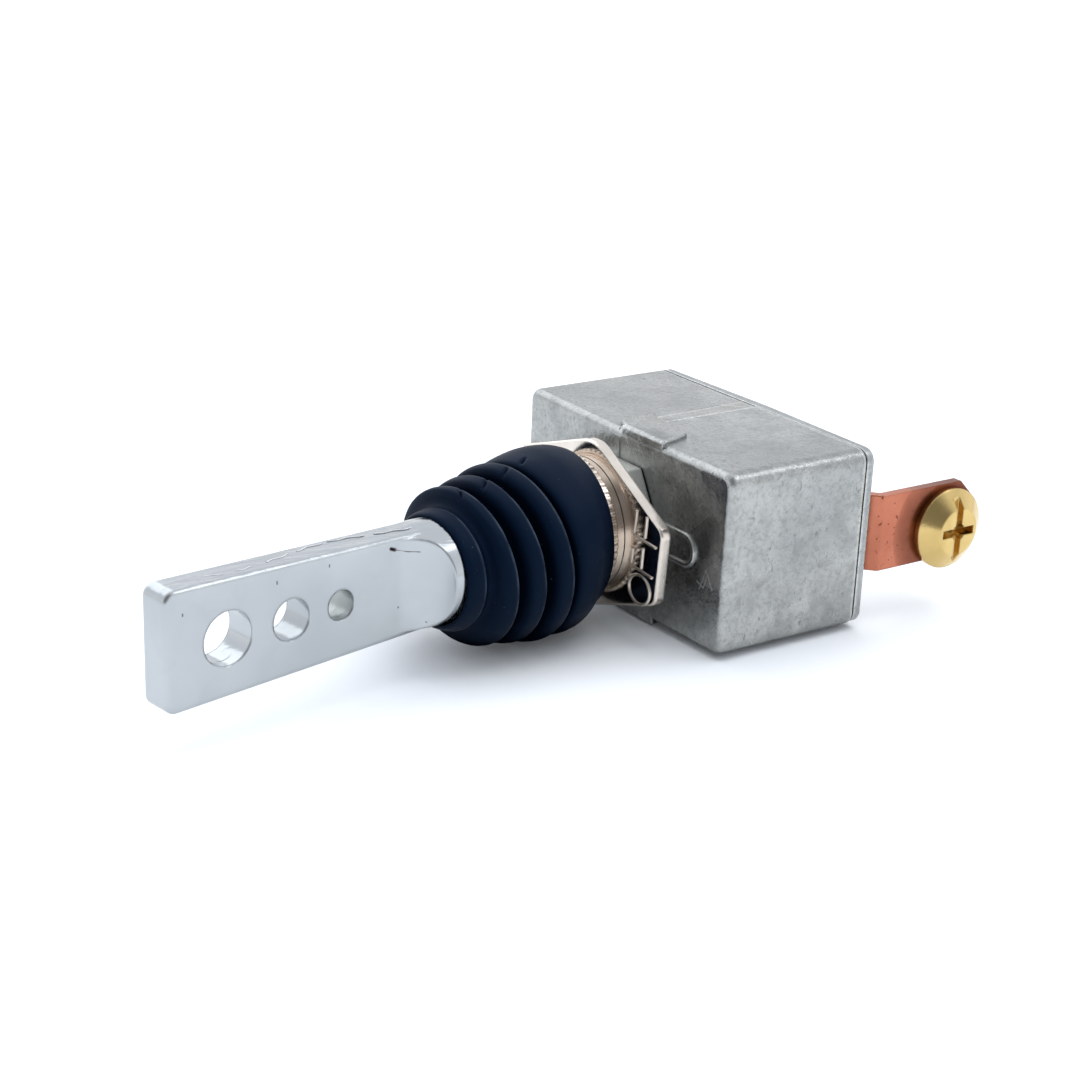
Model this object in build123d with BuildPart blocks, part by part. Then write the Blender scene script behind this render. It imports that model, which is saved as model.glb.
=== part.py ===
from build123d import *
from math import cos, radians, sin, tan
import os

os.makedirs("parts", exist_ok=True)

# Housing: the bushing axis runs along -Y, the panel seat is at Y = 0
housing_length = 50.0
housing_depth = 25.1
housing_height = 27.0
face_draft = 0.58
wall = 2.4
front_wall = 2.6
end_radius = 2.0
front_radius = 1.2
parting_step = 0.12
gate_length = 9.5
gate_depth = 6.0
gate_height = 0.6
bead_reach = 18.4
bead_radius = 2.5
bead_width = 0.7
bead_length = 6.0
bead_rise = 0.98
post_radius = 2.4
post_inset_x = 7.5
post_inset_z = 3.0
post_length = 12.0
cover_hole_radius = 1.2

# Bushing, nuts and legend plate
bushing_radius = 7.0
bushing_front = 11.0
bushing_bore = 5.35
flange_gap = 1.6
flange_thickness = 2.4
thread_clearance = 0.05
nut_across_flats = 18.0
nut_thickness = 4.2
plate_thickness = 1.5
plate_half_length = 18.0
plate_half_height = 13.3
plate_end_half = 5.6
plate_turn = -4.5
plate_corner = 1.8
plate_apex_radius = 7.0
ring_radius = 9.85
ring_band = 1.5
knurl_radius = 10.3
knurl_length = 2.0
collar_radius = 9.3
collar_length = 3.3

# Lever: distances are measured along it from the pivot
pivot_y = -1.0
lever_tilt = 10.35
lever_rise = 0.35
ball_radius = 5.2
neck_radius = 3.3
neck_end = 12.5
flare_end = 16.5
shank_radius = 7.4
shank_end = 38.0
run_out_end = 46.0
run_out_radius = 6.6
blade_half_thickness = 2.45
blade_start = 30.0
blade_root_half = 7.1
blade_tip_half = 8.15
lever_reach = 79.8
blade_corner = 1.6
blade_edge = 0.6
scoop_centre = 43.1
scoop_radius = 6.3
hole_positions = (70.5, 60.7, 52.7)
hole_radii = (3.67, 2.87, 2.10)
tail_radius = 3.4
tail_share = 0.68
pin_radius = 1.5
pin_clearance = 0.05
pin_end_gap = 0.2

# Plunger and its spring inside the lever's tail
plunger_radius = 1.9
plunger_clearance = 0.05
plunger_share = 0.47
plunger_nose = 1.6
bore_floor = 1.8
spring_radius = 1.45
spring_wire = 0.25
spring_pitch = 0.95

# Rocker, its pin and the contacts
rocker_rise = 4.4
rocker_angle = -8.0
rocker_half_width = 4.2
hub_half = 3.4
hub_back = 1.9
saddle_height = 2.92
saddle_rise = 0.8
nose_gap = 0.18
arm_reach = 15.5
arm_half_thickness = 0.7
rocker_pin_radius = 1.2
contact_x = 13.0
contact_radius = 2.0
contact_height = 0.75
contact_gap = 0.05
stop_half_length = 1.3
stop_half_width = 4.0

# Terminals
strip_thickness = 1.5
strip_half_width = 5.8
strip_inset = 4.8
joggle = 2.8
joggle_gap = 0.1
tab_reach = 21.8
strip_chamfer = 3.6
left_trim = 1.0
leg_gap_left = 4.0
leg_gap_right = 9.5
bracket_half_length = 3.0
bracket_thickness = 1.0
bracket_foot = 1.2
screw_inset = 6.1
screw_z = -1.0
screw_radius = 3.0
screw_clearance = 0.05
screw_length = 9.0
head_radius = 6.2
head_rim = 1.0
head_height = 3.0
slot_width = 1.3
slot_depth = 1.2
cross_length = 6.2
cross_depth = 1.9

# Base, gasket, cover and its screws
base_thickness = 4.0
base_gap = 0.2
base_margin = 0.5
collar_wall = 0.7
fit_gap = 0.1
gasket_thickness = 0.35
gasket_inset = 0.5
cover_edge = 1.45
cover_crown = 0.6
cover_inset = 0.1
cover_rim_radius = 0.4
cover_head_radius = 2.1
cover_head_height = 1.2

# Boot: centre line and ring radii
boot_back = 8.7
boot_sag = -1.3
boot_wall = 1.5
boot_front = 35.9
lip_mouth = 7.45

# Sizes that follow from the ones above
half_length = housing_length / 2
half_height = housing_height / 2
plate_back = nut_thickness
plate_front = plate_back + plate_thickness
knurl_start = plate_front + ring_band
collar_start = knurl_start + knurl_length
leg_back = housing_depth - base_thickness
leg_y = leg_back - strip_thickness
rocker_y = leg_y - rocker_rise
plunger_reach = rocker_y - pivot_y - saddle_height - nose_gap
plunger_back = plunger_share * plunger_reach
tail_reach = tail_share * plunger_reach
post_x = half_length - post_inset_x
post_z = half_height - post_inset_z
flange_radius = half_height - wall - flange_gap
cover_front = housing_depth + gasket_thickness
cover_back = cover_front + cover_edge
strip_inner_x = half_length - strip_inset
strip_outer_x = strip_inner_x + joggle
joggle_start = cover_back + joggle_gap
strip_end = joggle_start + tab_reach
screw_y = strip_end - screw_inset
turn = radians(lever_tilt)
rise = radians(lever_rise)
along = Vector(sin(turn) * cos(rise), -cos(turn) * cos(rise), sin(rise))
across = Vector(cos(turn), sin(turn), 0)
pivot = Vector(0, pivot_y, 0)
lever_plane = Plane(origin=pivot, x_dir=along, z_dir=across)
side_plane = Plane(origin=pivot, x_dir=along, z_dir=along.cross(across))
lever_axis = Axis(pivot, along)
rocker_turn = radians(abs(rocker_angle))
rocker_plane = Plane((0, rocker_y, 0), x_dir=(cos(radians(rocker_angle)), sin(radians(rocker_angle)), 0))


def save(part, name):
    part.label = name
    export_step(part, "parts/" + name + ".step")


# Die cast housing
def cast_half(side, top):
    front = [(0, 0), (side * half_length, face_draft)]
    back = [(side * half_length, housing_depth), (0, housing_depth)]
    with BuildPart() as half:
        with BuildSketch(Plane.XY):
            with BuildLine():
                Polyline(*front, *back, close=True)
            make_face()
        extrude(amount=top, both=True)
        ends = half.edges().filter_by(Axis.Y).sort_by(Axis.X)
        fillet(ends[-2:] if side > 0 else ends[:2], end_radius)
        front_face = half.faces().sort_by(Axis.Y)[0]
        rim = [e for e in front_face.edges() if abs(e.center().X) > 0.01]
        fillet(rim, front_radius)
    return half.part


def gate_pad(z_sign):
    top = half_height + gate_height
    with BuildPart() as pad:
        with BuildSketch(Plane.XY.offset(half_height - front_radius - 0.4)):
            with BuildLine():
                Polyline((0, 0.05), (gate_length, 0.3), (gate_length - 1.9, gate_depth), (0, gate_depth),
                         close=True)
            make_face()
        extrude(amount=top - half_height + front_radius + 0.4)
        fillet(pad.edges().filter_by(Axis.Z).sort_by(Axis.Y)[-1:], 0.6)
        chamfer(pad.faces().sort_by(Axis.Z)[-1].edges(), 0.25)
    return pad.part if z_sign > 0 else mirror(pad.part, about=Plane.XY)


def build_housing():
    cavity_x = half_length - wall
    cavity_z = half_height - wall
    with BuildPart() as housing:
        add(cast_half(1, half_height))
        add(cast_half(-1, half_height - parting_step))
        add(gate_pad(1))
        add(gate_pad(-1))
        with BuildSketch(Plane.XZ.offset(-1.0)):
            bead_centre = bead_reach - bead_radius
            with Locations((bead_centre - bead_length / 2, 0), (bead_length / 2 - bead_centre, 0)):
                SlotCenterToCenter(bead_length, 2 * bead_radius)
                SlotCenterToCenter(bead_length, 2 * (bead_radius - bead_width), mode=Mode.SUBTRACT)
        extrude(amount=bead_rise)
        with BuildSketch(Plane.XZ.offset(-housing_depth)):
            RectangleRounded(2 * cavity_x, 2 * cavity_z, end_radius / 2)
        extrude(amount=housing_depth - front_wall, mode=Mode.SUBTRACT)
        with BuildSketch(Plane.XZ.offset(-housing_depth)):
            with Locations(*post_centres()):
                Circle(post_radius)
        extrude(amount=post_length)
        with BuildSketch(Plane.XZ.offset(-housing_depth)):
            with Locations(*post_centres()):
                Circle(cover_hole_radius)
        extrude(amount=post_length - 2, mode=Mode.SUBTRACT)
        with BuildSketch(Plane.XZ.offset(-front_wall - 1)):
            Circle(bushing_radius + thread_clearance)
        extrude(amount=front_wall + 2, mode=Mode.SUBTRACT)
    return housing.part


def post_centres():
    return [(x, z) for x in (-post_x, post_x) for z in (-post_z, post_z)]


# Threaded bushing with its inner flange, bore and pivot pin hole
def build_bushing():
    flange_back = front_wall + flange_thickness
    with BuildPart() as bushing:
        with BuildSketch(Plane.XZ.offset(-flange_back)):
            Circle(flange_radius)
        extrude(amount=flange_thickness)
        with BuildSketch(Plane.XZ.offset(-front_wall)):
            Circle(bushing_radius)
        extrude(amount=front_wall + bushing_front)
        chamfer(bushing.edges().filter_by(GeomType.CIRCLE).sort_by(Axis.Y)[0], 0.5)
        with BuildSketch(Plane.XZ.offset(-flange_back)):
            Circle(bushing_bore)
        extrude(amount=flange_back + bushing_front, mode=Mode.SUBTRACT)
        chamfer(bushing.edges().filter_by(GeomType.CIRCLE).sort_by(Axis.Y)[0], 0.4)
        with BuildSketch(Plane.XY):
            with Locations((0, pivot_y)):
                Circle(pin_radius)
        extrude(amount=flange_radius, both=True, mode=Mode.SUBTRACT)
    return bushing.part


def build_pivot_pin():
    pin_half = bushing_radius - pin_end_gap
    with BuildPart() as pin:
        with BuildSketch(Plane.XY.offset(-pin_half)):
            with Locations((0, pivot_y)):
                Circle(pin_radius)
        extrude(amount=2 * pin_half)
        chamfer(pin.edges().filter_by(GeomType.CIRCLE), 0.2)
    return pin.part


def build_back_nut():
    with BuildPart() as nut:
        with BuildSketch(Plane.XZ):
            RegularPolygon(nut_across_flats / 2, 6, major_radius=False)
            Circle(bushing_radius + thread_clearance, mode=Mode.SUBTRACT)
        extrude(amount=nut_thickness)
        fillet(nut.edges().filter_by(Axis.Y), 0.4)
    return nut.part


def build_legend_plate():
    end, top = plate_half_length, plate_half_height
    outline = [(end, -plate_end_half), (end, plate_end_half), (0, top)]
    outline += [(-end, plate_end_half), (-end, -plate_end_half), (0, -top)]
    with BuildPart() as plate:
        with BuildSketch(Plane.XZ.offset(plate_back)):
            with Locations(Location((0, 0), plate_turn)):
                Polygon(*outline, align=None)
            Circle(bushing_radius + 2 * thread_clearance, mode=Mode.SUBTRACT)
        extrude(amount=plate_thickness)
        outer = plate.edges().filter_by(Axis.Y).sort_by(Axis.Z)
        fillet([outer[0], outer[-1]], plate_apex_radius)
        fillet(outer[1:-1].filter_by(lambda e: abs(e.center().X) > bushing_radius + 1), plate_corner)
        chamfer(plate.faces().sort_by(Axis.Y)[0].outer_wire().edges(), 0.25)
    return plate.part


def build_ring_nut():
    steps = [(plate_front, ring_radius, ring_band), (knurl_start, knurl_radius, knurl_length)]
    steps += [(collar_start, collar_radius, collar_length)]
    with BuildPart() as ring:
        for start, radius, length in steps:
            with BuildSketch(Plane.XZ.offset(start)):
                Circle(radius)
            extrude(amount=length)
        with BuildSketch(Plane.XZ.offset(plate_front)):
            Circle(bushing_radius + thread_clearance)
        extrude(amount=ring_band + knurl_length + collar_length, mode=Mode.SUBTRACT)
    return ring.part


# Bellows boot: each ring is a circle on the bent centre line
def ease(value):
    value = min(max(value, 0.0), 1.0)
    return value * value * (3 - 2 * value)


def boot_centre(distance):
    share = (distance - boot_back) / (boot_front - boot_back)
    pull = 0.75 * ease(share / 0.37) + 0.25 * ease((share - 0.8) / 0.11)
    side = (pivot_y + distance) * tan(turn) * pull
    lift = 0.8 * ease((share - 0.765) / 0.13) + 0.2 * ease((share - 0.92) / 0.08)
    sag = boot_sag * ease((share + 0.3) / 0.95) * (1 - lift)
    return Vector(side, -distance, sag)


def boot_plane(distance):
    share = (distance - boot_back) / (boot_front - boot_back)
    bend = turn * ease(share / 0.33)
    heading = Vector(sin(bend), -cos(bend), 0)
    return Plane(origin=boot_centre(distance), x_dir=Vector(cos(bend), sin(bend), 0), z_dir=heading)


def boot_outline():
    skirt = [(boot_back, 11.5), (9.4, 12.0), (11.4, 12.8), (14.0, 13.35), (16.6, 13.25), (18.3, 12.9),
             (19.4, 12.0)]
    first = [(19.9, 11.9), (20.3, 12.7), (20.8, 12.98), (21.8, 12.8), (22.8, 12.0), (23.7, 10.9)]
    second = [(24.3, 11.3), (24.7, 12.0), (25.1, 12.21), (26.1, 12.05), (27.1, 11.2), (28.0, 10.1)]
    third = [(28.6, 10.6), (29.0, 11.3), (29.4, 11.54), (30.4, 11.3), (31.3, 10.3), (32.0, 8.8)]
    lip = [(32.7, 8.3), (33.2, 8.4), (33.7, 8.45), (34.6, 8.4), (35.4, 8.2), (boot_front, 7.95)]
    return skirt + first + second + third + lip


def build_boot():
    rings = boot_outline()
    with BuildPart() as boot:
        for distance, radius in rings:
            with BuildSketch(boot_plane(distance)):
                Circle(radius)
        loft(ruled=True)
        inner = [(d, r - boot_wall) for d, r in rings if collar_start + collar_length < d < 33.0]
        for distance, radius in inner:
            with BuildSketch(boot_plane(distance)):
                Circle(max(radius, lip_mouth))
        loft(ruled=True, mode=Mode.SUBTRACT)
        mouth_centre = pivot + along * (boot_front + pivot_y)
        with BuildSketch(Plane(origin=mouth_centre + along * 3, x_dir=across, z_dir=-along)):
            Circle(lip_mouth)
        extrude(amount=14, mode=Mode.SUBTRACT)
        with BuildSketch(Plane.XZ.offset(boot_back - 1)):
            Circle(knurl_radius)
        extrude(amount=collar_start - boot_back + 1, mode=Mode.SUBTRACT)
        with BuildSketch(Plane.XZ.offset(collar_start)):
            Circle(collar_radius)
        extrude(amount=collar_length + 3, mode=Mode.SUBTRACT)
    return boot.part


# Lever: ball, neck, shank and flat blade in one piece
def build_blade():
    with BuildPart() as blade:
        with BuildSketch(lever_plane):
            with BuildLine():
                Polyline((blade_start, -blade_root_half), (shank_end, -blade_root_half),
                         (lever_reach, -blade_tip_half), (lever_reach, blade_tip_half),
                         (shank_end, blade_root_half), (blade_start, blade_root_half), close=True)
            make_face()
        extrude(amount=blade_half_thickness, both=True)
        tip = blade.faces().sort_by(lever_axis)[-1]
        fillet(tip.edges().filter_by(Axis((0, 0, 0), across)), blade_corner)
        for face in blade.faces().sort_by(Axis(pivot, across))[:: len(blade.faces()) - 1]:
            fillet(face.edges(), blade_edge)
    return blade.part


def build_lever():
    with BuildPart() as lever:
        with BuildSketch(lever_plane):
            with BuildLine():
                Polyline((-tail_reach, 0), (-tail_reach, tail_radius), (0, tail_radius), (0, neck_radius),
                         (neck_end, neck_radius), (flare_end, shank_radius), (shank_end, shank_radius),
                         (run_out_end, run_out_radius), (run_out_end, 0), close=True)
            make_face()
        revolve(axis=lever_axis)
        with Locations(pivot):
            Sphere(ball_radius)
        with BuildSketch(side_plane):
            for side in (1, -1):
                with Locations((scoop_centre, side * (blade_half_thickness + scoop_radius))):
                    Circle(scoop_radius)
                with Locations((scoop_centre + shank_radius, side * (blade_half_thickness + scoop_radius))):
                    Rectangle(2 * shank_radius, 2 * scoop_radius)
        extrude(amount=shank_radius + 1, both=True, mode=Mode.SUBTRACT)
        add(build_blade())
        for position, radius in zip(hole_positions, hole_radii):
            with BuildSketch(lever_plane):
                with Locations((position, 0)):
                    Circle(radius)
            extrude(amount=blade_half_thickness + 1, both=True, mode=Mode.SUBTRACT)
        with BuildSketch(Plane(origin=pivot - along * tail_reach, x_dir=across, z_dir=along)):
            Circle(plunger_radius + plunger_clearance)
        extrude(amount=tail_reach - bore_floor, mode=Mode.SUBTRACT)
        with BuildSketch(Plane.XY):
            with Locations((0, pivot_y)):
                Circle(pin_radius + pin_clearance)
        extrude(amount=ball_radius + 1, both=True, mode=Mode.SUBTRACT)
    return lever.part


def build_plunger():
    with BuildPart() as plunger:
        with BuildSketch(Plane(origin=pivot - along * plunger_back, x_dir=across, z_dir=-along)):
            Circle(plunger_radius)
        extrude(amount=plunger_reach - plunger_back)
        fillet(plunger.edges().filter_by(GeomType.CIRCLE).sort_by(Axis.Y)[-1], plunger_nose)
    return plunger.part


def build_plunger_spring():
    height = plunger_back - bore_floor - 2 * spring_wire
    start = pivot - along * (bore_floor + spring_wire)
    with BuildPart() as spring:
        with BuildLine() as coil:
            Helix(spring_pitch, height, spring_radius, center=start, direction=-along)
        with BuildSketch(Plane(origin=coil.line @ 0, z_dir=coil.line % 0)):
            Circle(spring_wire)
        sweep(is_frenet=True)
    return spring.part


# Rocker with its saddle, turning on its own pin
def build_rocker():
    with BuildPart() as rocker:
        with BuildSketch(rocker_plane):
            with BuildLine():
                Polyline((0, -saddle_height), (hub_half, -saddle_height - saddle_rise), (hub_half, hub_back),
                         (-hub_half, hub_back), (-hub_half, -saddle_height - saddle_rise), close=True)
            make_face()
            Rectangle(2 * arm_reach, 2 * arm_half_thickness)
            Circle(rocker_pin_radius + pin_clearance, mode=Mode.SUBTRACT)
        extrude(amount=rocker_half_width, both=True)
    return rocker.part


def build_moving_contact():
    seat = rocker_plane.location * Location((contact_x, arm_half_thickness, 0), (-90, 0, 0))
    with BuildPart() as contact:
        with BuildSketch(Plane(seat)):
            Circle(contact_radius)
        extrude(amount=contact_height)
    return contact.part


def build_fixed_contact():
    swing = (contact_x + contact_radius) * sin(rocker_turn)
    face = rocker_y + swing + (arm_half_thickness + contact_height) * cos(rocker_turn) + contact_gap
    with BuildPart() as contact:
        with BuildSketch(Plane.XZ.offset(-leg_y)):
            with Locations((contact_x, 0)):
                Circle(contact_radius + 0.2)
        extrude(amount=leg_y - face)
    return contact.part


def build_rocker_stop():
    top = rocker_y + arm_reach * sin(rocker_turn) + arm_half_thickness * cos(rocker_turn) + contact_gap
    with BuildPart() as stop:
        with BuildSketch(Plane.XZ.offset(-leg_y)):
            with Locations((stop_half_length - arm_reach - 0.5, 0)):
                RectangleRounded(2 * stop_half_length, 2 * stop_half_width, 0.5)
        extrude(amount=leg_y - top)
    return stop.part


def build_rocker_pin():
    with BuildPart() as pin:
        with BuildSketch(Plane.XY):
            with Locations((0, rocker_y)):
                Circle(rocker_pin_radius)
        extrude(amount=strip_half_width + pin_end_gap, both=True)
    return pin.part


def build_fulcrum_bracket():
    ear_inside = strip_half_width - bracket_thickness
    with BuildPart() as bracket:
        with BuildSketch(Plane.XZ.offset(-leg_y)):
            Rectangle(2 * bracket_half_length, 2 * strip_half_width)
        extrude(amount=bracket_foot)
        with BuildSketch(Plane.XZ.offset(-leg_y)):
            for side in (1, -1):
                with Locations((0, side * (ear_inside + bracket_thickness / 2))):
                    Rectangle(2 * bracket_half_length, bracket_thickness)
        extrude(amount=leg_y - rocker_y + 2 * rocker_pin_radius)
        fillet(bracket.edges().filter_by(Axis.Z).sort_by(Axis.Y)[:4], 1.5)
        with BuildSketch(Plane.XY):
            with Locations((0, rocker_y)):
                Circle(rocker_pin_radius)
        extrude(amount=strip_half_width + 1, both=True, mode=Mode.SUBTRACT)
    return bracket.part


# Terminal strips: inner leg, riser, joggle and screw tab in one bent piece
def build_terminal(side, leg_end):
    inner, outer, thick = strip_inner_x, strip_outer_x, strip_thickness
    step = outer - inner
    mitre = thick * tan(radians(22.5))
    tab_end = strip_end if side > 0 else strip_end - left_trim
    path = [(leg_end, leg_y), (inner + thick, leg_y), (inner + thick, joggle_start)]
    path += [(outer + thick, joggle_start + step), (outer + thick, tab_end), (outer, tab_end)]
    path += [(outer, joggle_start + step + mitre), (inner, joggle_start + mitre), (inner, leg_back)]
    path += [(leg_end, leg_back)]
    with BuildPart() as terminal:
        with BuildSketch(Plane.XY):
            with BuildLine():
                Polyline(*[(side * x, y) for x, y in path], close=True)
            make_face()
        extrude(amount=strip_half_width, both=True)
        end_face = terminal.faces().sort_by(Axis.Y)[-1]
        chamfer(end_face.edges().filter_by(Axis.X), strip_chamfer)
        bends = terminal.edges().filter_by(Axis.Z)
        bends = bends.filter_by(lambda e: joggle_start - 0.1 < e.center().Y < joggle_start + step + 1)
        fillet(bends, 0.7)
        with BuildSketch(Plane.YZ.offset(side * (outer - 1))):
            with Locations((screw_y, screw_z)):
                Circle(screw_radius)
        extrude(amount=side * (thick + 2), mode=Mode.SUBTRACT)
    return terminal.part


def build_terminal_screws():
    with BuildPart() as screws:
        for side in (1, -1):
            face = strip_outer_x + strip_thickness
            seat = Plane(origin=(side * face, screw_y, screw_z), x_dir=(0, 1, 0), z_dir=(side, 0, 0))
            with BuildSketch(seat):
                Circle(head_radius)
            extrude(amount=head_height)
            rim = screws.faces().sort_by(Axis.X)[-1 if side > 0 else 0].edges()
            chamfer(rim, head_height - head_rim, 2.6)
            with BuildSketch(seat):
                Circle(screw_radius - screw_clearance)
            extrude(amount=-screw_length)
            with BuildSketch(seat.offset(head_height)):
                Rectangle(slot_width, 2 * head_radius + 1)
            extrude(amount=-slot_depth, mode=Mode.SUBTRACT)
            with BuildSketch(seat.offset(head_height)):
                Rectangle(cross_length, slot_width)
                Circle(slot_width)
            extrude(amount=-cross_depth, taper=8, mode=Mode.SUBTRACT)
    return screws.part


# Insulating base with a collar round each terminal strip
def collar_sketch(grow):
    middle = strip_inner_x + strip_thickness / 2
    with BuildSketch() as sketch:
        with Locations((middle, 0), (-middle, 0)):
            margin = collar_wall + grow
            Rectangle(strip_thickness + 2 * margin, 2 * (strip_half_width + margin))
    return sketch.sketch


def build_base():
    base_half_length = half_length - wall - base_gap
    base_half_height = post_z - post_radius - base_margin
    collar_reach = cover_back - leg_back - joggle_gap
    with BuildPart() as base:
        with BuildSketch(Plane.XZ.offset(-leg_back)):
            Rectangle(2 * base_half_length, 2 * base_half_height)
        extrude(amount=-(housing_depth - leg_back))
        with BuildSketch(Plane.XZ.offset(-leg_back)):
            add(collar_sketch(0))
        extrude(amount=-collar_reach)
        middle = strip_inner_x + strip_thickness / 2
        with BuildSketch(Plane.XZ.offset(-leg_back)):
            with Locations((middle, 0), (-middle, 0)):
                Rectangle(strip_thickness + fit_gap, 2 * strip_half_width + fit_gap)
        extrude(amount=-collar_reach, mode=Mode.SUBTRACT)
    return base.part


def build_gasket():
    with BuildPart() as gasket:
        with BuildSketch(Plane.XZ.offset(-housing_depth)):
            RectangleRounded(housing_length - 2 * gasket_inset, housing_height - 2 * gasket_inset, end_radius)
            add(collar_sketch(fit_gap), mode=Mode.SUBTRACT)
            with Locations(*post_centres()):
                Circle(cover_hole_radius + fit_gap, mode=Mode.SUBTRACT)
        extrude(amount=-gasket_thickness)
    return gasket.part


def build_cover():
    end = half_length - cover_inset
    with BuildPart() as cover:
        with BuildSketch(Plane.XY):
            with BuildLine():
                Polyline((-end, cover_front), (end, cover_front), (end, cover_back),
                         (0, cover_back + cover_crown), (-end, cover_back), close=True)
            make_face()
        extrude(amount=half_height - cover_inset, both=True)
        corners = cover.edges().filter_by(Axis.Y)
        fillet(corners, end_radius)
        backs = cover.faces().filter_by(lambda f: f.center().Y > cover_back)
        rim = [e for f in backs for e in f.edges() if abs(e.center().X) > 0.01]
        fillet(rim, cover_rim_radius)
        with BuildSketch(Plane.XZ.offset(-cover_front)):
            add(collar_sketch(fit_gap))
            with Locations(*post_centres()):
                Circle(cover_hole_radius + fit_gap)
        extrude(amount=-(cover_edge + cover_crown + 1), mode=Mode.SUBTRACT)
    return cover.part


def build_cover_screws():
    seat = cover_back + cover_crown * (1 - (post_x - cover_head_radius) / half_length)
    with BuildPart() as screws:
        with BuildSketch(Plane.XZ.offset(-seat - cover_head_height)):
            with Locations(*post_centres()):
                Circle(cover_head_radius)
        extrude(amount=cover_head_height)
        fillet(screws.edges().filter_by(GeomType.CIRCLE).group_by(Axis.Y)[-1], 0.7)
        with BuildSketch(Plane.XZ.offset(-seat)):
            with Locations(*post_centres()):
                Circle(cover_hole_radius)
        extrude(amount=seat - housing_depth + post_length - 4)
        with BuildSketch(Plane.XZ.offset(-seat - cover_head_height)):
            with Locations(*post_centres()):
                Rectangle(2 * cover_head_radius, 0.6)
        extrude(amount=0.6, mode=Mode.SUBTRACT)
    return screws.part


save(build_housing(), "housing")
save(build_bushing(), "bushing")
save(build_pivot_pin(), "pivot_pin")
save(build_back_nut(), "back_nut")
save(build_legend_plate(), "legend_plate")
save(build_ring_nut(), "ring_nut")
save(build_boot(), "boot")
save(build_lever(), "lever")
save(build_plunger(), "plunger")
save(build_plunger_spring(), "plunger_spring")
save(build_rocker(), "rocker")
save(build_moving_contact(), "moving_contact")
save(build_fixed_contact(), "fixed_contact")
save(build_rocker_stop(), "rocker_stop")
save(build_rocker_pin(), "rocker_pin")
save(build_fulcrum_bracket(), "fulcrum_bracket")
save(build_terminal(1, leg_gap_right), "terminal_right")
save(build_terminal(-1, -leg_gap_left), "terminal_left")
save(build_terminal_screws(), "terminal_screws")
save(build_base(), "insulating_base")
save(build_gasket(), "cover_gasket")
save(build_cover(), "rear_cover")
save(build_cover_screws(), "cover_screws")
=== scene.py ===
import bpy
import bmesh
import math
from mathutils import Matrix, Vector, noise


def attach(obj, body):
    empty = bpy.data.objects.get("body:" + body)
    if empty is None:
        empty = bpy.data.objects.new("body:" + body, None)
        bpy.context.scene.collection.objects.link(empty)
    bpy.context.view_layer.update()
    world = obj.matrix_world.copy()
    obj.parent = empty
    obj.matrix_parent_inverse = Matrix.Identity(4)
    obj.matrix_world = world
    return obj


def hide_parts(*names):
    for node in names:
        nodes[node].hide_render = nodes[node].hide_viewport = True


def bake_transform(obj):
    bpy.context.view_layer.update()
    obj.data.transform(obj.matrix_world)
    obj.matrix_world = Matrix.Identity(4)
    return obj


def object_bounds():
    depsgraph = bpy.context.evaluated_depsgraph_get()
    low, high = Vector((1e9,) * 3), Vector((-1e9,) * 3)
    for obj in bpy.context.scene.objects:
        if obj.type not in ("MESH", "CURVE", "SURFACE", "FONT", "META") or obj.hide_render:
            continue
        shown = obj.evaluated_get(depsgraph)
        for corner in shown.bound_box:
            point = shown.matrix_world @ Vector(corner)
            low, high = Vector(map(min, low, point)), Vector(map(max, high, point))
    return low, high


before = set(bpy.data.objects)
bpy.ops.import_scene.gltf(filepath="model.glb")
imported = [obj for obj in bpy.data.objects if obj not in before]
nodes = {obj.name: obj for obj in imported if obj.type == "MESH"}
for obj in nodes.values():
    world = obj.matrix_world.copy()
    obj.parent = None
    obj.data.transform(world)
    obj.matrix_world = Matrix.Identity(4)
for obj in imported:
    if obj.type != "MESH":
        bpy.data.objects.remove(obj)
cad_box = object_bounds()
MM = 0.001


# Geometry helpers, all sizes in millimetres
def new_object(name, verts, faces, smooth=True):
    mesh = bpy.data.meshes.new(name)
    mesh.from_pydata([tuple(c * MM for c in v) for v in verts], [], faces)
    mesh.validate()
    for poly in mesh.polygons:
        poly.use_smooth = smooth
    obj = bpy.data.objects.new(name, mesh)
    bpy.context.scene.collection.objects.link(obj)
    return obj


def sharpen(obj, degrees):
    bm = bmesh.new()
    bm.from_mesh(obj.data)
    bmesh.ops.recalc_face_normals(bm, faces=bm.faces)
    for edge in bm.edges:
        if len(edge.link_faces) == 2 and edge.calc_face_angle(0) > math.radians(degrees):
            edge.smooth = False
    bm.to_mesh(obj.data)
    bm.free()


def ring_mesh(name, rings, closed=True):
    """Joins rings of equal point count; closed joins the last ring to the first."""
    count = len(rings[0])
    verts = [p for ring in rings for p in ring]
    faces = []
    for i in range(len(rings) if closed else len(rings) - 1):
        a, b = i * count, ((i + 1) % len(rings)) * count
        for j in range(count):
            k = (j + 1) % count
            faces.append((a + j, a + k, b + k, b + j))
    return new_object(name, verts, faces)


def curve_through(points, step):
    """Catmull-Rom through the points, sampled about every step."""
    out = []
    for i in range(len(points) - 1):
        p0 = points[max(i - 1, 0)]
        p1, p2 = points[i], points[i + 1]
        p3 = points[min(i + 2, len(points) - 1)]
        parts = max(1, round(math.dist(p1, p2) / step))
        for n in range(parts):
            t = n / parts
            out.append(tuple(0.5 * (2 * b + (c - a) * t + (2 * a - 5 * b + 4 * c - d) * t * t
                                    + (3 * b - a - 3 * c + d) * t ** 3)
                             for a, b, c, d in zip(p0, p1, p2, p3)))
    out.append(points[-1])
    return out


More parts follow.
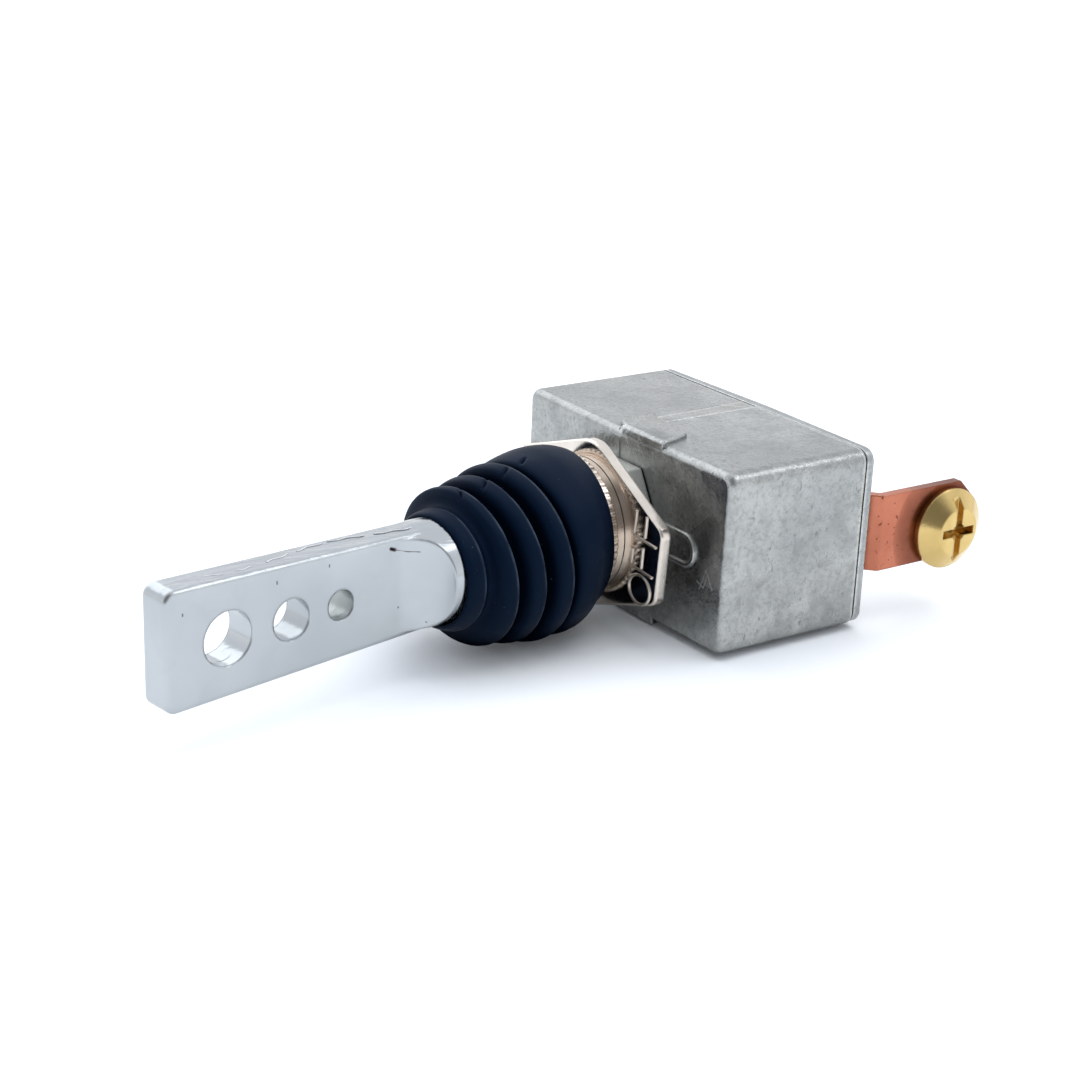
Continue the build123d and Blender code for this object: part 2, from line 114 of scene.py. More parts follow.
# Node material helper
class Shader:
    def __init__(self, name, **base):
        self.mat = bpy.data.materials.new(name)
        self.mat.use_nodes = True
        self.tree = self.mat.node_tree
        self.tree.nodes.clear()
        out = self.add("ShaderNodeOutputMaterial")
        self.bsdf = self.add("ShaderNodeBsdfPrincipled")
        self.link(self.bsdf.outputs[0], out.inputs[0])
        self.where = self.add("ShaderNodeTexCoord").outputs["Object"]
        for key, value in base.items():
            self.put(self.bsdf, key.replace("_", " "), value)

    def add(self, kind, **props):
        node = self.tree.nodes.new(kind)
        for key, value in props.items():
            setattr(node, key, value)
        return node

    def link(self, a, b):
        self.tree.links.new(a, b)

    def put(self, node, key, value):
        socket = node.inputs[key]
        if isinstance(value, bpy.types.NodeSocket):
            self.link(value, socket)
        elif isinstance(value, (tuple, list)) and len(value) == 3 and socket.type == "RGBA":
            socket.default_value = (*value, 1.0)
        else:
            socket.default_value = value

    def stretch(self, scale, turn=(0, 0, 0)):
        node = self.add("ShaderNodeMapping")
        self.put(node, "Vector", self.where)
        self.put(node, "Scale", scale)
        self.put(node, "Rotation", turn)
        return node.outputs[0]

    def noise(self, scale, detail=4.0, rough=0.55, distortion=0.0, where=None):
        node = self.add("ShaderNodeTexNoise")
        self.put(node, "Vector", where or self.where)
        self.put(node, "Scale", scale)
        self.put(node, "Detail", detail)
        self.put(node, "Roughness", rough)
        self.put(node, "Distortion", distortion)
        return node.outputs["Fac"]

    def span(self, value, lo, hi, to_lo=0.0, to_hi=1.0):
        node = self.add("ShaderNodeMapRange")
        self.put(node, "Value", value)
        for key, item in (("From Min", lo), ("From Max", hi), ("To Min", to_lo), ("To Max", to_hi)):
            self.put(node, key, item)
        return node.outputs[0]

    def calc(self, kind, a, b=0.0):
        node = self.add("ShaderNodeMath", operation=kind)
        self.put(node, 0, a)
        self.put(node, 1, b)
        return node.outputs[0]

    def blend(self, share, a, b, kind="MIX"):
        node = self.add("ShaderNodeMix", data_type="RGBA", blend_type=kind)
        self.put(node, 0, share)
        self.put(node, 6, a)
        self.put(node, 7, b)
        return node.outputs[2]

    def mark(self, start, end, width):
        """1 along a thin straight mark between two points of the object's own space, 0 beside it."""
        run = end - start
        offset = self.add("ShaderNodeVectorMath", operation="SUBTRACT")
        self.put(offset, 0, self.where)
        self.put(offset, 1, tuple(start))
        along = self.add("ShaderNodeVectorMath", operation="DOT_PRODUCT")
        self.put(along, 0, offset.outputs[0])
        self.put(along, 1, tuple(run / run.length_squared))
        nearest = self.add("ShaderNodeVectorMath", operation="SCALE")
        self.put(nearest, 0, tuple(run))
        self.put(nearest, "Scale", self.span(along.outputs["Value"], 0.0, 1.0))
        away = self.add("ShaderNodeVectorMath", operation="DISTANCE")
        self.put(away, 0, offset.outputs[0])
        self.put(away, 1, nearest.outputs[0])
        return self.span(away.outputs["Value"], width, width * 0.4)

    def openness(self, reach):
        """The share of the sky over a point that nothing closes in within the reach."""
        node = self.add("ShaderNodeAmbientOcclusion", samples=6)
        self.put(node, "Distance", reach)
        return node.outputs["AO"]

    def crevice(self, reach):
        """1 in the corners that other faces close in, 0 on open faces."""
        return self.span(self.openness(reach), 0.85, 0.45)

    def bevel(self, radius):
        node = self.add("ShaderNodeBevel", samples=6)
        self.put(node, "Radius", radius)
        return node.outputs[0]

    def edge(self, radius, lo=0.02, hi=0.25):
        """1 on edges tighter than the radius, 0 on flat faces."""
        facing = self.add("ShaderNodeVectorMath", operation="DOT_PRODUCT")
        self.put(facing, 0, self.bevel(radius))
        self.put(facing, 1, self.add("ShaderNodeNewGeometry").outputs["Normal"])
        return self.span(self.calc("SUBTRACT", 1.0, facing.outputs["Value"]), lo, hi)

    def bump(self, height, strength, distance, normal=None):
        node = self.add("ShaderNodeBump")
        self.put(node, "Height", height)
        self.put(node, "Strength", strength)
        self.put(node, "Distance", distance)
        if normal is not None:
            self.put(node, "Normal", normal)
        return node.outputs[0]

    def normal(self, value):
        self.put(self.bsdf, "Normal", value)


def local(node, point):
    """A point in millimetres, in the own space of a CAD node."""
    return nodes[node].matrix_world.inverted() @ (Vector(point) * MM)


def marks(s, node, lines, width):
    """The darkest of several thin marks on a node."""
    total = 0.0
    for start, end in lines:
        total = s.calc("MAXIMUM", s.mark(local(node, start), local(node, end), width), total)
    return total


def zinc(name, pale, dark, rough, speckle, scratches_and_highlight=(), seams_and_step_shade=()):
    s = Shader(name, Metallic=0.97)
    broad = s.noise(65, 4, 0.55, 0.8)
    smudge = s.noise(260, 5, 0.6, 0.3)
    fine = s.noise(1500, 5, 0.7)
    grain = s.noise(4200, 3, 0.6)
    colour = s.blend(s.span(broad, 0.36, 0.62), dark, pale)
    colour = s.blend(s.span(smudge, 0.34, 0.56, 0.50, 0.0), colour, tuple(c * 0.62 for c in dark))
    colour = s.blend(s.span(fine, 0.36, 0.52, 0.46, 0.0), colour, tuple(c * 0.55 for c in dark))
    colour = s.blend(s.span(grain, 0.62, 0.75, 0.0, speckle), colour, (0.86, 0.88, 0.88))
    pits = s.span(s.noise(900, 3, 0.5, where=s.stretch((1, 1.3, 0.8))), 0.33, 0.28, 0.0, speckle)
    colour = s.blend(pits, colour, tuple(c * 0.35 for c in dark))
    # Pale edges: partly wear, partly a painted highlight along the rounded edges.
    wear_and_highlight = s.calc("MULTIPLY", s.edge(0.0011), s.span(fine, 0.35, 0.6, 0.45, 1.0))
    colour = s.blend(wear_and_highlight, colour, (0.95, 0.97, 0.97))
    # Painted shade: corners, steps and creases darken toward near-black.
    colour = s.blend(s.calc("MULTIPLY", s.crevice(0.0009), 0.85), colour, (0.04, 0.042, 0.045))
    scratch_and_highlight = 0.0
    # Pale lines: real scratches, and on the top a painted highlight along the parting step's raised edge.
    if scratches_and_highlight:
        lines = marks(s, "housing", scratches_and_highlight, SCRATCH_AND_HIGHLIGHT_WIDTH)
        scratch_and_highlight = s.calc("MULTIPLY", lines, s.span(fine, 0.35, 0.6, 0.25, 0.9))
        colour = s.blend(scratch_and_highlight, colour, (0.80, 0.82, 0.84))
        scratch_and_highlight = s.calc("MULTIPLY", scratch_and_highlight, 0.3)
    # Dark lines: the parting line's joint on the front, and painted shade beside the parting step and round
    # the gate pad's foot.
    if seams_and_step_shade:
        colour = s.blend(marks(s, "housing", seams_and_step_shade, SEAM_AND_SHADE_WIDTH), colour, (0.05, 0.055, 0.06))
    s.put(s.bsdf, "Base Color", colour)
    s.put(s.bsdf, "Roughness", s.calc("ADD", s.span(smudge, 0.3, 0.7, rough - 0.06, rough + 0.10), scratch_and_highlight))
    soft = s.bevel(0.0005)
    wave = s.bump(s.noise(130, 3, 0.5), 0.3, 0.0008, soft)
    dents = s.bump(s.noise(620, 2, 0.5), 0.30, 0.00020, wave)
    tiny = s.bump(grain, 0.16, 0.00008, dents)
    s.normal(s.bump(fine, 0.34, 0.00016, tiny))
    return s.mat


def plated(name, colour, rough, stain, bevel=0.0003, grain=0.0, ground=(1, 1, 1), grime_and_shade=None,
           reach=0.001, wear_and_highlight=None, shadow_axes=()):
    """Plated or bare metal; painted shade with some grime lies in corners, wear and a painted highlight on
    edges, and a painted shadow round a marked axis, with dark specks.
    """
    s = Shader(name, Metallic=1.0)
    cloud = s.noise(140, 4, 0.6, 0.4)
    fine = s.noise(1800, 4, 0.6, where=s.stretch(ground))
    shade = s.blend(s.span(cloud, 0.35, 0.68, 0.0, 0.5), colour, stain)
    # Pale edges: partly wear, partly a painted highlight.
    if wear_and_highlight:
        shade = s.blend(s.edge(bevel * 1.6), shade, wear_and_highlight)
        s.put(s.bsdf, "Metallic", 0.6)
    # Painted shade, with some grime: corners and recesses darken toward this colour.
    if grime_and_shade:
        shade = s.blend(s.calc("MULTIPLY", s.crevice(reach), 0.85), shade, grime_and_shade)
    # Painted shadow of the screw round its axis on the copper, with real dark specks all over.
    if shadow_axes:
        specks = s.span(s.noise(1300, 2, 0.5), 0.34, 0.30, 0.0, 0.8)
        spread = s.calc("POWER", marks(s, "terminal_right", shadow_axes, SCREW_SHADOW_REACH), 0.45)
        painted_shadow = s.calc("MULTIPLY", spread, s.span(cloud, 0.3, 0.6, 0.75, 1.0))
        shade = s.blend(s.calc("MAXIMUM", specks, painted_shadow), shade, grime_and_shade)
    s.put(s.bsdf, "Base Color", shade)
    s.put(s.bsdf, "Roughness", s.span(cloud, 0.3, 0.7, rough * 0.8, rough * 1.35))
    soft = s.bevel(bevel)
    s.normal(s.bump(fine, 0.10 + grain, 0.00006, soft))
    return s.mat


def chrome():
    s = Shader("lever_look", Metallic=1.0)
    cloud = s.noise(55, 3, 0.5)
    haze = s.noise(210, 4, 0.6, 0.5)
    colour = s.blend(s.span(cloud, 0.35, 0.65), (0.48, 0.512, 0.545), (0.55, 0.583, 0.616))
    colour = s.blend(s.span(haze, 0.50, 0.72, 0.0, 0.35), colour, (0.46, 0.48, 0.52))
    # Painted shade: the lever darkens, and turns matt, where other parts close in over it.
    hollow_shade = s.span(s.openness(0.005), 0.75, 0.40)
    colour = s.blend(s.calc("MULTIPLY", hollow_shade, 0.8), colour, (0.40, 0.43, 0.42))
    colour = s.blend(marks(s, "lever", PITS, PIT_WIDTH), colour, (0.17, 0.18, 0.20))
    colour = s.blend(marks(s, "lever", CHIP, CHIP_WIDTH), colour, (0.020, 0.012, 0.012))
    colour = s.blend(marks(s, "lever", CHIP_TAIL, CHIP_TAIL_WIDTH), colour, (0.16, 0.14, 0.145))
    s.put(s.bsdf, "Base Color", colour)
    matt = s.calc("MULTIPLY", hollow_shade, 0.22)
    s.put(s.bsdf, "Roughness", s.calc("ADD", s.span(haze, 0.3, 0.7, 0.11, 0.21), matt))
    up = s.add("ShaderNodeSeparateXYZ")
    s.put(up, 0, s.add("ShaderNodeNewGeometry").outputs["Normal"])
    edgewise = s.calc("POWER", s.calc("ABSOLUTE", up.outputs[2]), 4.0)
    streaks = s.noise(420, 3, 0.55, 0.5, where=s.stretch((1, 0.22, 1), (0, 0, -TURN)))
    waves = s.bump(streaks, s.calc("MULTIPLY", edgewise, 0.75), 0.0005, s.bevel(0.0006))
    s.normal(s.bump(s.noise(90, 2, 0.5), 0.10, 0.0008, waves))
    return s.mat


def rubber():
    s = Shader("boot_rubber_look", Metallic=0.0)
    cloud = s.noise(110, 4, 0.6)
    fine = s.noise(2600, 4, 0.6)
    open_share = s.openness(0.006)
    colour = s.blend(s.span(cloud, 0.3, 0.7), (0.0016, 0.0058, 0.0180), (0.0028, 0.0080, 0.0225))
    # Painted shade: the valleys between the rings darken nearly to black, and their sheen set below is
    # turned down too.
    colour = s.blend(s.span(open_share, 0.40, 0.90, 0.92, 0.0), colour, (0.0003, 0.0008, 0.0026))
    # Painted highlight: a patchy paler line along each ring's crest.
    crest_highlight = s.add("ShaderNodeAttribute", attribute_name="crest_highlight").outputs["Fac"]
    crest_highlight = s.calc("MULTIPLY", crest_highlight, s.span(s.noise(320, 4, 0.6), 0.36, 0.60, 0.15, 1.0))
    colour = s.blend(crest_highlight, colour, (0.062, 0.086, 0.122))
    dust = s.span(s.noise(2100, 2, 0.5), 0.74, 0.79, 0.0, 0.5)
    colour = s.blend(dust, colour, (0.07, 0.09, 0.12))
    s.put(s.bsdf, "Base Color", colour)
    s.put(s.bsdf, "Roughness", s.span(cloud, 0.3, 0.7, 0.44, 0.52))
    s.put(s.bsdf, "Specular IOR Level", s.span(open_share, 0.55, 1.0, 0.0, 0.085))
    s.put(s.bsdf, "Specular Tint", (0.40, 0.68, 1.0))
    s.normal(s.bump(fine, 0.12, 0.00008, s.bump(s.noise(500, 3, 0.5), 0.1, 0.0002)))
    return s.mat


def plain(name, colour, other, rough, metal=0.0):
    s = Shader(name, Metallic=metal)
    cloud = s.noise(300, 5, 0.6)
    s.put(s.bsdf, "Base Color", s.blend(s.span(cloud, 0.35, 0.65), colour, other))
    s.put(s.bsdf, "Roughness", s.span(cloud, 0.3, 0.7, rough - 0.06, rough + 0.08))
    s.normal(s.bump(s.noise(1500, 4, 0.6), 0.2, 0.0001, s.bevel(0.0002)))
    return s.mat


# The lever's lean to the OFF end and its small rise
TURN = math.radians(10.35)
LEVER_RISE = math.radians(0.35)

# Small marks: their ends in millimetres in the shared frame, their half widths in metres
SCRATCH_AND_HIGHLIGHT_WIDTH, SEAM_AND_SHADE_WIDTH = 0.00016, 0.00022
PIT_WIDTH, CHIP_WIDTH, CHIP_TAIL_WIDTH = 0.00016, 0.00034, 0.00011
# Real scratches on the front, and on the top a painted highlight along the parting step's raised edge
SCRATCHES_AND_HIGHLIGHT = [((-2.36, 8.0, 13.5), (-2.96, 20.6, 13.5)), ((-0.6, 23.4, 13.5), (-3.0, 20.6, 13.5)),
             ((19.04, 0.44, -3.75), (20.43, 0.47, -4.33)), ((19.59, 0.45, -4.77), (20.82, 0.48, -1.64)),
             ((20.82, 0.48, -1.64), (22.37, 0.52, -3.96)), ((21.12, 0.49, -2.44), (20.43, 0.47, -4.33))]
# The parting line's dark joint on the front, and painted shade beside the parting step and round the gate
# pad's foot on the top
SEAMS_AND_STEP_SHADE = [((-1.15, 0.59, 13.2), (-0.15, 0, 11.0)), ((-0.15, 0, 11.0), (-0.10, 0, 8.5)),
         ((-2.62, 8.0, 13.45), (-3.22, 20.6, 13.45)), ((-2.75, 1.7, 13.5), (-2.85, 7.2, 13.5)),
         ((-2.5, 7.45, 13.5), (6.9, 6.5, 13.5))]
CHIP = [((10.40, -44.3, 6.16), (10.28, -43.6, 5.85))]
CHIP_TAIL = [((10.28, -43.6, 5.85), (10.05, -41.5, 5.15)), ((10.05, -41.5, 5.15), (10.36, -39.84, 4.92))]
PITS = [((12.23, -54.34, 6.36), (12.23, -54.34, 6.1)), ((13.73, -62.53, 6.13), (13.73, -62.5, 5.8)),
        ((16.27, -76.45, 5.4), (16.27, -76.45, 5.15)), ((10.16, -42.97, -2.39), (10.16, -42.9, -2.5)),
        ((10.76, -38.96, -5.13), (10.70, -38.7, -5.2))]
# The right screw's axis, round which a painted shadow of the screw darkens the copper, and how far it
# reaches
SCREW_AXIS = ((20, 42.7, -1), (30, 42.7, -1))
SCREW_SHADOW_REACH = 0.0103

looks = {
    "housing": zinc("zinc_look", (0.50, 0.512, 0.51), (0.375, 0.388, 0.39), 0.23, 0.55, SCRATCHES_AND_HIGHLIGHT, SEAMS_AND_STEP_SHADE),
    "rear_cover": zinc("cover_look", (0.46, 0.48, 0.485), (0.36, 0.38, 0.39), 0.26, 0.35),
    # The back nut's pale edges are partly a painted highlight.
    "back_nut": plated("nut_look", (0.70, 0.72, 0.69), 0.27, (0.46, 0.46, 0.44), 0.0005,
                       wear_and_highlight=(0.95, 0.96, 0.93)),
    "bushing": plated("bushing_look", (0.66, 0.66, 0.64), 0.28, (0.5, 0.48, 0.45)),
    "legend_plate": plated("plate_look", (0.86, 0.80, 0.74), 0.13, (0.58, 0.50, 0.44), 0.0004),
    "ring_nut": plated("ring_look", (0.84, 0.76, 0.69), 0.15, (0.48, 0.40, 0.34)),
    "lever": chrome(),
    # Copper and brass: their last colour is painted shade with some grime, in corners and, on the copper,
    # round the screw.
    "terminal_right": plated("copper_look", (0.60, 0.215, 0.135), 0.28, (0.45, 0.145, 0.09), 0.0003, 0.1,
                             (1, 0.1, 1), (0.10, 0.030, 0.018), 0.002, None, [SCREW_AXIS]),
    "terminal_screws": plated("brass_look", (0.78, 0.58, 0.25), 0.17, (0.52, 0.35, 0.11), 0.0004, 0.1,
                              (1, 1, 1), (0.55, 0.36, 0.14), 0.0014),
    "pivot_pin": plated("pin_look", (0.58, 0.59, 0.60), 0.2, (0.45, 0.45, 0.46)),
    "plunger_spring": plated("spring_look", (0.50, 0.51, 0.52), 0.3, (0.40, 0.40, 0.42)),
    "rocker": plated("rocker_look", (0.74, 0.58, 0.30), 0.3, (0.55, 0.40, 0.20)),
    "moving_contact": plated("silver_look", (0.86, 0.86, 0.85), 0.2, (0.7, 0.7, 0.68)),
    "cover_screws": plated("cover_screw_look", (0.58, 0.60, 0.60), 0.25, (0.42, 0.44, 0.44)),
    "insulating_base": plain("phenolic_look", (0.030, 0.024, 0.020), (0.05, 0.038, 0.03), 0.4),
    "cover_gasket": plain("gasket_look", (0.012, 0.012, 0.012), (0.03, 0.03, 0.03), 0.7),
    "rocker_stop": plain("stop_look", (0.22, 0.05, 0.03), (0.16, 0.035, 0.02), 0.6),
    "plunger": plain("plunger_look", (0.18, 0.08, 0.045), (0.12, 0.05, 0.03), 0.55),
}
# Nodes that take the look of another
shared = {"terminal_left": "terminal_right", "fulcrum_bracket": "terminal_right", "rocker_pin": "pivot_pin",
          "fixed_contact": "moving_contact"}
for name, obj in nodes.items():
    look = looks.get(shared.get(name, name))
    if look:
        obj.data.materials.clear()
        obj.data.materials.append(look)


# Boot: the rings of the CAD boot, with rounded crests and narrow valleys.
# Each pair is a distance in front of the panel face and a radius; LEAN tips the rings' tops forward.
BOOT_BACK, BOOT_FRONT = 8.7, 35.9
BOOT_LEAN = math.radians(4.0)
BOOT_SAG = -1.2
BOOT_POINTS = 390
BOOT_STEP = 0.24
SKIRT = [(8.7, 11.45), (8.9, 11.75), (9.5, 12.1), (11.4, 12.8), (14.0, 13.33), (16.6, 13.27),
         (18.0, 13.1), (18.85, 12.8), (19.3, 12.25), (19.6, 11.3)]
FIRST = [(19.6, 11.3), (19.85, 12.0), (20.2, 12.7), (20.7, 13.0), (21.6, 13.0), (22.35, 12.7),
         (22.8, 12.0), (23.1, 11.1), (23.5, 10.4), (23.85, 10.3)]
SECOND = [(23.85, 10.3), (24.1, 11.0), (24.4, 11.75), (24.95, 12.18), (25.8, 12.1), (26.6, 11.75),
          (27.1, 11.0), (27.45, 10.2), (27.9, 9.65), (28.2, 9.6)]
THIRD = [(28.2, 9.6), (28.45, 10.3), (28.75, 11.1), (29.3, 11.5), (30.1, 11.4), (30.8, 11.0),
         (31.3, 10.2), (31.65, 9.4), (32.0, 8.8), (32.35, 8.45)]
LIP = [(32.35, 8.45), (32.6, 8.15), (32.9, 8.1), (33.1, 8.3), (33.3, 8.56), (33.6, 8.64), (34.2, 8.55),
       (35.0, 8.35), (35.55, 8.1), (35.85, 7.8), (35.9, 7.55), (35.7, 7.36)]
# Where the painted highlights along the rings' crests lie along the boot, and how wide they are
CREST_HIGHLIGHTS = [20.55, 24.8, 29.15, 33.4]
CREST_HIGHLIGHT_WIDTH = 0.17
MOUTH = [(35.0, 7.32), (33.5, 7.32), (32.6, 7.36)]
INSIDE = [(31.9, 7.75), (31.0, 8.6), (29.4, 10.0), (28.1, 8.3), (27.0, 9.6), (25.1, 10.7), (23.8, 9.0),
          (22.5, 10.4), (20.9, 11.4), (19.6, 10.2), (18.5, 11.0), (15.7, 11.7), (15.5, 9.35), (9.2, 9.35),
          (9.2, 10.34), (8.7, 10.34)]
# Each nick is a slanted tapering cut over a ring: where it starts and ends along the boot, with its angles
NICKS = [(16.9, 90.5, 18.7, 87.0), (20.6, 88.0, 22.8, 82.5), (24.4, 88.5, 26.8, 79.0),
         (28.9, 90.0, 31.0, 78.0)]
NICK_DEPTH, NICK_DEGREES = 0.42, 1.1


def ease(value):
    """A smooth step from 0 to 1."""
    value = min(max(value, 0.0), 1.0)
    return value * value * (3 - 2 * value)


def boot_centre(d):
    """The boot's centre line: from the stem's axis to the lever's, sagging between them."""
    share = (d - BOOT_BACK) / (BOOT_FRONT - BOOT_BACK)
    pull = 0.75 * ease(share / 0.37) + 0.25 * ease((share - 0.8) / 0.11)
    lift = 0.8 * ease((share - 0.765) / 0.13) + 0.2 * ease((share - 0.92) / 0.08)
    sag = BOOT_SAG * ease((share + 0.3) / 0.95) * (1 - lift)
    return Vector(((d - 1.0) * math.tan(TURN) * pull, -d, sag))


def lever_centre(d):
    return Vector(((d - 1.0) * math.tan(TURN), -d, (d - 1.0) * math.tan(LEVER_RISE)))


def nick_depth(d, degrees):
    depth = 0.0
    for start, first, end, last in NICKS:
        share = (d - start) / (end - start)
        if 0 < share < 1:
            gap = degrees - first - (last - first) * share
            depth += NICK_DEPTH * math.sin(math.pi * share) ** 0.6 * math.exp(-(gap / NICK_DEGREES) ** 2)
    return depth


def boot_ring(d, radius, centre, outside=False):
    """One ring of the boot, square to its bent centre line."""
    bend = TURN * ease((d - BOOT_BACK) / (BOOT_FRONT - BOOT_BACK) / 0.33)
    across = Vector((math.cos(bend), math.sin(bend), 0))
    lean = BOOT_LEAN * ease((d - 10) / 8) * (1 - ease((d - 29.5) / 3))
    upward = Vector((0, -math.sin(lean), math.cos(lean)))
    points = []
    for j in range(BOOT_POINTS):
        a = 2 * math.pi * j / BOOT_POINTS
        out = across * math.cos(a) + upward * math.sin(a)
        r = radius
        if outside:
            r += 0.05 * noise.noise((centre + out * radius) * 0.25) - nick_depth(d, math.degrees(a))
        points.append(tuple(centre + out * r))
    return points


def build_boot():
    outline = []
    for part in (SKIRT, FIRST, SECOND, THIRD, LIP):
        outline += curve_through(part, BOOT_STEP)[:-1]
    rings = [boot_ring(d, r, boot_centre(d), True) for d, r in outline]
    rings += [boot_ring(d, r, lever_centre(d)) for d, r in MOUTH]
    rings += [boot_ring(d, r, boot_centre(d)) for d, r in INSIDE]
    boot = ring_mesh("boot_bellows", rings)
    # The painted crest highlight's share at each ring of the outline
    lit = [max(math.exp(-((d - crest_highlight) / CREST_HIGHLIGHT_WIDTH) ** 2) for crest_highlight in CREST_HIGHLIGHTS) for d, r in outline]
    lit += [0.0] * (len(rings) - len(outline))
    crest_highlight = boot.data.attributes.new("crest_highlight", "FLOAT", "POINT")
    crest_highlight.data.foreach_set("value", [share for share in lit for i in range(BOOT_POINTS)])
    sharpen(boot, 38)
    boot.data.materials.append(rubber())
    return boot


boot = build_boot()
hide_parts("boot")
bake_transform(boot)


# Raised bars: the letters on the plate and the mould line on the lever
BAR_ROOT = -0.06


def bar(points, normal, half, rise, close=False):
    """A rounded bar along the points, standing off the face that has this normal."""
    shoulder = 0.6 * rise
    section = ((-1, BAR_ROOT), (-0.95, shoulder), (-0.55, rise),
               (0.55, rise), (0.95, shoulder), (1, BAR_ROOT))
    rings = []
    last = len(points) - 1
    for i, point in enumerate(points):
        before = points[i - 1] if close else points[max(i - 1, 0)]
        after = points[(i + 1) % len(points)] if close else points[min(i + 1, last)]
        side = (after - before).cross(normal).normalized()
        rings.append([tuple(point + side * (across * half) + normal * lift) for across, lift in section])
    obj = ring_mesh("bar", rings, close)
    if not close:
        close_ends(obj)
    return obj


def close_ends(obj):
    bm = bmesh.new()
    bm.from_mesh(obj.data)
    bmesh.ops.holes_fill(bm, edges=[e for e in bm.edges if e.is_boundary])
    bm.to_mesh(obj.data)
    bm.free()


def join_bars(name, bars, look, body="case"):
    bpy.ops.object.select_all(action="DESELECT")
    for part in bars:
        part.select_set(True)
    bpy.context.view_layer.objects.active = bars[0]
    if len(bars) > 1:
        bpy.ops.object.join()
    joined = bpy.context.view_layer.objects.active
    joined.name = name
    sharpen(joined, 60)
    joined.data.materials.append(look)
    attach(joined, body)


LETTER_HALF, LETTER_RISE = 0.21, 0.22
PLATE_FACE = -5.7
# ON lies square to the plate's slanted left side, in degrees
PLATE_TURN = -4.5


def oval(cx, cz, rx, rz, count=40):
    return [(cx + rx * math.cos(2 * math.pi * i / count), cz + rz * math.sin(2 * math.pi * i / count))
            for i in range(count)]


def rotate(points, degrees):
    c, s = math.cos(math.radians(degrees)), math.sin(math.radians(degrees))
    return [(x * c - z * s, x * s + z * c) for x, z in points]


def word(name, strokes):
    """Strokes are points (x, z) on the plate face, each with whether it closes."""
    bars = []
    for points, close in strokes:
        path = [Vector((x, PLATE_FACE, z)) for x, z in points]
        bars.append(bar(path, Vector((0, -1, 0)), LETTER_HALF, LETTER_RISE, close))
    look = plated(name + "_look", (0.84, 0.78, 0.72), 0.30, (0.70, 0.62, 0.56))
    join_bars(name, bars, look)


word("letters_off", [([(12.33, 5.75), (11.96, 2.0), (17.1, 1.62)], False),
                     ([(14.72, 5.45), (14.5, 2.2)], False),
                     ([(11.89, 0.0), (11.64, -2.66), (16.6, -3.03)], False),
                     ([(14.21, 0.7), (14.0, -2.5)], False),
                     (oval(13.82, -5.70, 2.45, 2.15), True)])
word("letters_on", [(rotate([(-12.0, -0.6), (-16.9, -0.6), (-12.0, 3.2), (-16.9, 3.2)], PLATE_TURN), False),
                    (rotate(oval(-14.45, -3.9, 2.45, 2.15), PLATE_TURN), True)])


# Knurl on the ring nut: straight ridges with sloping sides and ends
KNURL_TEETH = 56
KNURL_ROOT, KNURL_TOP = 10.24, 10.60


def knurl():
    verts, faces = [], []
    for i in range(KNURL_TEETH):
        base = len(verts)
        for offset, r in ((-0.42, KNURL_ROOT), (-0.20, KNURL_TOP), (0.20, KNURL_TOP), (0.42, KNURL_ROOT)):
            a = 2 * math.pi * (i + offset) / KNURL_TEETH
            for y, reach in ((-7.22, KNURL_ROOT), (-7.38, r), (-8.40, r), (-8.6, KNURL_ROOT)):
                verts.append((reach * math.cos(a), y, reach * math.sin(a)))
        for column in range(3):
            for row in range(3):
                q = base + column * 4 + row
                faces.append((q, q + 1, q + 5, q + 4))
    obj = new_object("ring_knurl", verts, faces, False)
    sharpen(obj, 20)
    obj.data.materials.append(looks["ring_nut"])
    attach(obj, "case")


knurl()


# Gate pad on the case as far as its parting line, and the raised half beside the line
def slab(name, outline, low, high, edge):
    """A flat piece over an outline (x, y), with a rounded upper edge."""
    middle = Vector((sum(x for x, y in outline) / len(outline), sum(y for x, y in outline) / len(outline)))
    rings = []
    for inset, z in ((0, low), (0, high - edge), (0.3 * edge, high - 0.3 * edge), (edge, high)):
        ring = []
        for x, y in outline:
            p = Vector((x, y))
            p += (middle - p).normalized() * inset
            ring.append((p.x, p.y, z))
        rings.append(ring)
    obj = ring_mesh(name, rings, False)
    close_ends(obj)
    sharpen(obj, 50)
    obj.data.materials.append(looks["housing"])
    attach(obj, "case")


# Their feet stand in the case, whose top is at 13.5
SLAB_FOOT = 13.2
STRIP_TOP, STRIP_EDGE = 13.503, 0.06
PAD_TOP, PAD_EDGE = 14.13, 0.3
slab("parting_strip", [(-2.45, 7.0), (-2.75, 16.0), (-3.05, 24.9), (0.4, 24.9), (0.4, 7.0)],
     SLAB_FOOT, STRIP_TOP, STRIP_EDGE)
slab("gate_pad_skin", [(-2.5, 1.9), (-2.0, 1.45), (0.1, 0.45), (0.5, 0.35), (9.2, 0.62), (9.35, 0.9),
                       (7.7, 6.0), (7.2, 6.3), (-2.3, 7.25), (-2.6, 7.0)],
     SLAB_FOOT, PAD_TOP, PAD_EDGE)


# Mould line along the lever's narrow upper edge, broken in places
MOULD_RUNS = ((38.5, 45.0), (46.5, 52.0), (53.0, 57.5), (59.0, 63.0), (65.5, 68.0), (70.0, 72.5))
MOULD_STEPS = 12
MOULD_HALF, MOULD_RISE = 0.11, 0.012
# The blade's half height grows from its start over its length
BLADE_START, BLADE_LENGTH = 33.0, 47.0
BLADE_LOW, BLADE_HIGH = 7.1, 8.15


